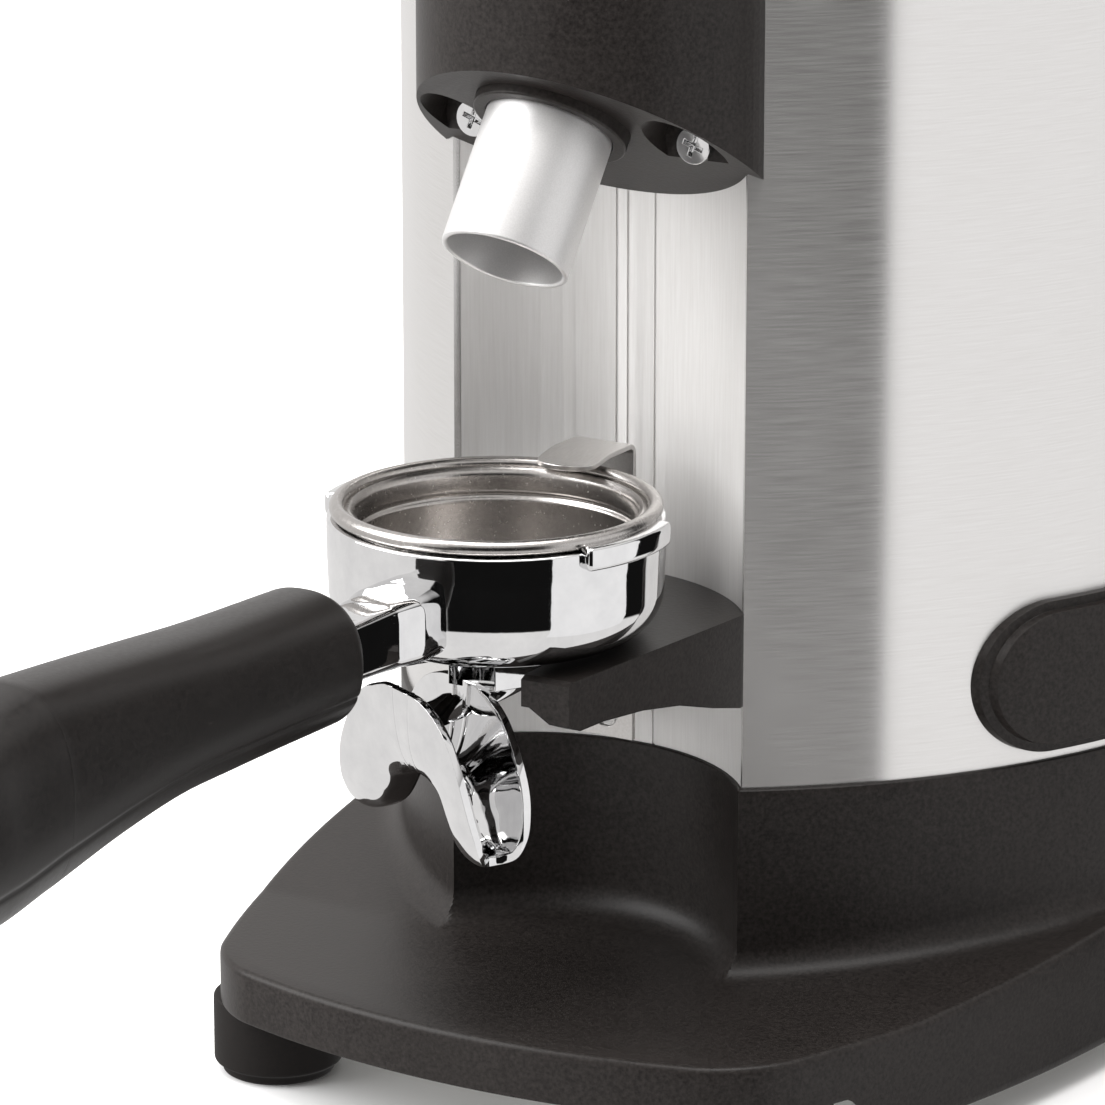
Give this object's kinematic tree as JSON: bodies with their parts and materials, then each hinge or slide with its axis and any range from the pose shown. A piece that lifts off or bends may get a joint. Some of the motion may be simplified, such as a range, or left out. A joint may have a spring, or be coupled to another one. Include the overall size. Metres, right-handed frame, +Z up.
{
  "type": "burr coffee grinder",
  "caption": "Tall round-bodied espresso grinder with a clear hopper, dosing head with angled spout, fork and clip, and a docked twin-spout filter holder.",
  "frame": {"origin": "on the floor, under the middle of the footprint including the docked filter holder", "axes": "+Z up along the burr axis, front (spout and fork) towards -Y, +X to the grinder's left-hand side as it faces out, which is on the right when seen from the front"},
  "size_m": [0.1975, 0.464, 0.5881],
  "materials": {
    "abs_black": "fine textured",
    "grip_black": "smooth satin",
    "brushed_steel": "fine brushed",
    "satin_metal": "satin",
    "chrome": "polished",
    "rubber": "matte",
    "clear": "clear",
    "copper": "lacquered windings",
    "board": "solder resist",
    "cast": "as cast",
    "screen": "smooth gloss",
    "burr_steel": "ground"
  },
  "bodies": {
    "body": {"base_housing": "abs_black", "bottom_plate": "satin_metal", "feet": "rubber", "foot_screws": "satin_metal", "body_shell": "brushed_steel", "front_panel": "brushed_steel", "switch_plate": "abs_black", "cable_gland": "grip_black", "fork": "abs_black", "fork_screws": "satin_metal", "spring_clip": "brushed_steel", "clip_screw": "satin_metal", "chute_cover": "abs_black", "cover_screws": "chrome", "spout_collar": "abs_black", "spout_tube": "satin_metal", "chute_duct": "grip_black", "motor_deck": "cast", "columns": "satin_metal", "motor_can": "cast", "stator": "copper", "lower_bearing": "chrome", "upper_bearing": "chrome", "capacitor": "cast", "control_board": "board", "grinding_chamber": "cast", "top_housing": "abs_black", "control_panel": "satin_metal", "display_window": "screen"},
    "power_rocker": {"power_rocker": "grip_black"},
    "rotor": {"rotor_shaft": "burr_steel", "burr_carrier": "cast", "lower_burr": "burr_steel", "lower_burr_screws": "satin_metal"},
    "adjuster": {"adjuster_body": "cast", "upper_burr": "burr_steel", "upper_burr_screws": "satin_metal", "adjustment_collar": "abs_black"},
    "lock_knob": {"lock_knob": "grip_black"},
    "button_single": {"button_single": "grip_black"},
    "button_double": {"button_double": "grip_black"},
    "button_manual": {"button_manual": "grip_black"},
    "hopper": {"hopper": "clear"},
    "hopper_gate": {"hopper_gate": "grip_black"},
    "hopper_lid": {"hopper_lid": "grip_black"},
    "filter_holder": {"holder_bowl": "chrome", "filter_basket": "brushed_steel", "basket_spring": "brushed_steel", "holder_neck": "chrome", "holder_grip": "grip_black", "grip_cap": "grip_black", "spout_nut": "chrome", "twin_spout": "chrome"}
  },
  "joints": [
    {"name": "holder_slide", "type": "slide", "parent": "body", "child": "filter_holder", "axis": [0, -1, 0], "range_m": [0, 0.12]},
    {"name": "rotor_spin", "type": "hinge", "parent": "body", "child": "rotor", "pos_m": [0, 0.12, 0.3], "axis": [0, 0, 1], "continuous": true},
    {"name": "grind_adjust", "type": "hinge", "parent": "body", "child": "adjuster", "pos_m": [0, 0.12, 0.39], "axis": [0, 0, 1], "range_deg": [-150, 150]},
    {"name": "lock_turn", "type": "hinge", "parent": "body", "child": "lock_knob", "pos_m": [0.06881, 0.07182, 0.395], "axis": [0, 0, 1], "range_deg": [0, 720]},
    {"name": "rocker_tilt", "type": "hinge", "parent": "body", "child": "power_rocker", "pos_m": [0.09332, 0.11019, 0.091], "axis": [-0.1045, -0.9945, 0], "range_deg": [0, 14]},
    {"name": "press_single", "type": "slide", "parent": "body", "child": "button_single", "axis": [0, 0.7604, -0.6494], "range_m": [0, 0.0015], "stiffness_N_per_m": 400},
    {"name": "press_double", "type": "slide", "parent": "body", "child": "button_double", "axis": [0, 0.7604, -0.6494], "range_m": [0, 0.0015], "stiffness_N_per_m": 400},
    {"name": "press_manual", "type": "slide", "parent": "body", "child": "button_manual", "axis": [0, 0.7604, -0.6494], "range_m": [0, 0.0015], "stiffness_N_per_m": 400},
    {"name": "hopper_lift", "type": "slide", "parent": "adjuster", "child": "hopper", "axis": [0, 0, 1], "range_m": [0, 0.08]},
    {"name": "gate_slide", "type": "slide", "parent": "hopper", "child": "hopper_gate", "axis": [0, 1, 0], "range_m": [0, 0.046]},
    {"name": "lid_lift", "type": "slide", "parent": "hopper", "child": "hopper_lid", "axis": [0, 0, 1], "range_m": [0, 0.06]}
  ]
}
